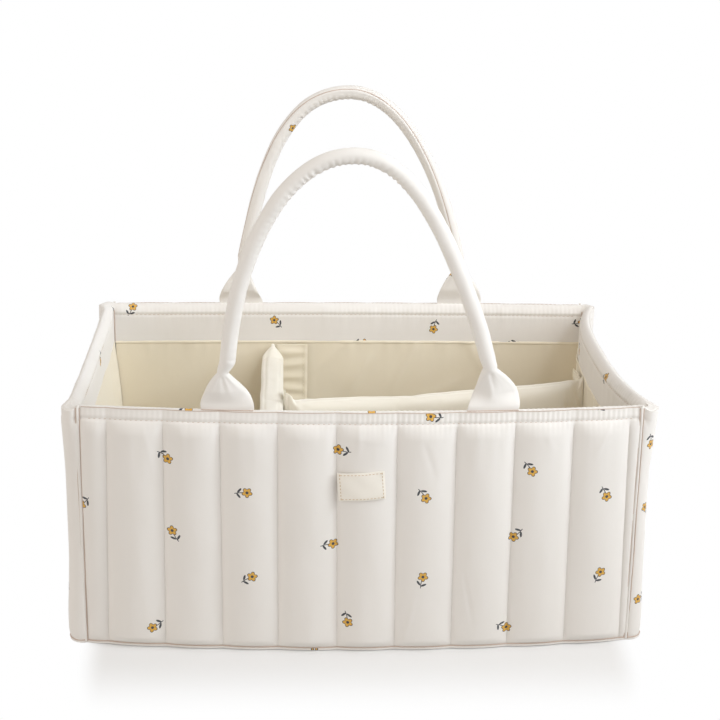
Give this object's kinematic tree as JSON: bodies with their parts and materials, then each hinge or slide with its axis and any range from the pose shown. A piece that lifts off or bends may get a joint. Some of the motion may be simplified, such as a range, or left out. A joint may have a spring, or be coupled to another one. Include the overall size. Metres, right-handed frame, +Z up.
{
  "type": "diaper caddy",
  "caption": "Open rectangular fabric caddy with quilted, board-stiffened walls, arched corded handles and padded lift-out dividers held by hook-and-loop flaps.",
  "frame": {"origin": "on the floor under the base, midway between the four upright corners", "axes": "+X to the caddy's right along its long side, +Y to its back, +Z up"},
  "size_m": [0.3842, 0.2681, 0.3358],
  "materials": {
    "ivory_print": "soft brushed polyester with a small all-over print",
    "cream_lining": "plain cream lining cloth with a slight sheen",
    "white_wadding": "loose polyester wadding",
    "white_foam": "soft foam sheet",
    "white_cord": "soft twisted filler cord",
    "stiffening_board": "thin pliable board",
    "label_cotton": "plain woven cotton",
    "hook_and_loop_tape": "hook-and-loop tape"
  },
  "bodies": {
    "caddy": {"base_cover": "ivory_print", "base_board": "stiffening_board", "base_lining": "cream_lining", "front_quilted_face": "ivory_print", "front_wadding": "white_wadding", "front_board": "stiffening_board", "front_lining": "cream_lining", "front_facing": "ivory_print", "back_quilted_face": "ivory_print", "back_wadding": "white_wadding", "back_board": "stiffening_board", "back_lining": "cream_lining", "back_facing": "ivory_print", "left_quilted_face": "ivory_print", "left_wadding": "white_wadding", "left_board": "stiffening_board", "left_lining": "cream_lining", "left_facing": "ivory_print", "right_quilted_face": "ivory_print", "right_wadding": "white_wadding", "right_board": "stiffening_board", "right_lining": "cream_lining", "right_facing": "ivory_print", "front_label": "label_cotton", "front_handle_left_tab": "ivory_print", "front_handle_right_tab": "ivory_print", "back_handle_left_tab": "ivory_print", "back_handle_right_tab": "ivory_print", "cross_back_loop_tape": "hook_and_loop_tape", "cross_front_loop_tape": "hook_and_loop_tape", "long_right_loop_tape": "hook_and_loop_tape"},
    "front_handle": {"front_handle_sleeve": "ivory_print", "front_handle_cord": "white_cord"},
    "back_handle": {"back_handle_sleeve": "ivory_print", "back_handle_cord": "white_cord"},
    "cross_divider": {"cross_divider_cover": "cream_lining", "cross_divider_foam": "white_foam", "long_left_loop_tape": "hook_and_loop_tape"},
    "long_divider": {"long_divider_cover": "cream_lining", "long_divider_foam": "white_foam"},
    "cross_back_flap": {"cross_divider_back_flap": "cream_lining", "cross_back_hook_tape": "hook_and_loop_tape"},
    "cross_front_flap": {"cross_divider_front_flap": "cream_lining", "cross_front_hook_tape": "hook_and_loop_tape"},
    "long_left_flap": {"long_divider_left_flap": "cream_lining", "long_left_hook_tape": "hook_and_loop_tape"},
    "long_right_flap": {"long_divider_right_flap": "cream_lining", "long_right_hook_tape": "hook_and_loop_tape"}
  },
  "joints": [
    {"name": "front_handle_fold", "type": "hinge", "parent": "caddy", "child": "front_handle", "pos_m": [0, -0.12427, 0.171], "axis": [1, 0, 0], "range_deg": [-45, 102]},
    {"name": "back_handle_fold", "type": "hinge", "parent": "caddy", "child": "back_handle", "pos_m": [0, 0.11724, 0.171], "axis": [-1, 0, 0], "range_deg": [-45, 102]},
    {"name": "cross_divider_lift", "type": "slide", "parent": "caddy", "child": "cross_divider", "axis": [0, 0, 1], "range_m": [0, 0.165]},
    {"name": "long_divider_lift", "type": "slide", "parent": "caddy", "child": "long_divider", "axis": [0, 0, 1], "range_m": [0, 0.165]},
    {"name": "cross_back_flap_peel", "type": "hinge", "parent": "cross_divider", "child": "cross_back_flap", "pos_m": [-0.0507, 0.11076, 0.074], "axis": [0, 0, -1], "range_deg": [0, 60]},
    {"name": "cross_front_flap_peel", "type": "hinge", "parent": "cross_divider", "child": "cross_front_flap", "pos_m": [-0.0507, -0.11905, 0.074], "axis": [0, 0, 1], "range_deg": [0, 60]},
    {"name": "long_left_flap_peel", "type": "hinge", "parent": "long_divider", "child": "long_left_flap", "pos_m": [-0.0482, 0.0036, 0.074], "axis": [0, 0, -1], "range_deg": [0, 60]},
    {"name": "long_right_flap_peel", "type": "hinge", "parent": "long_divider", "child": "long_right_flap", "pos_m": [0.16634, 0.0336, 0.074], "axis": [0, 0, 1], "range_deg": [0, 60]}
  ]
}
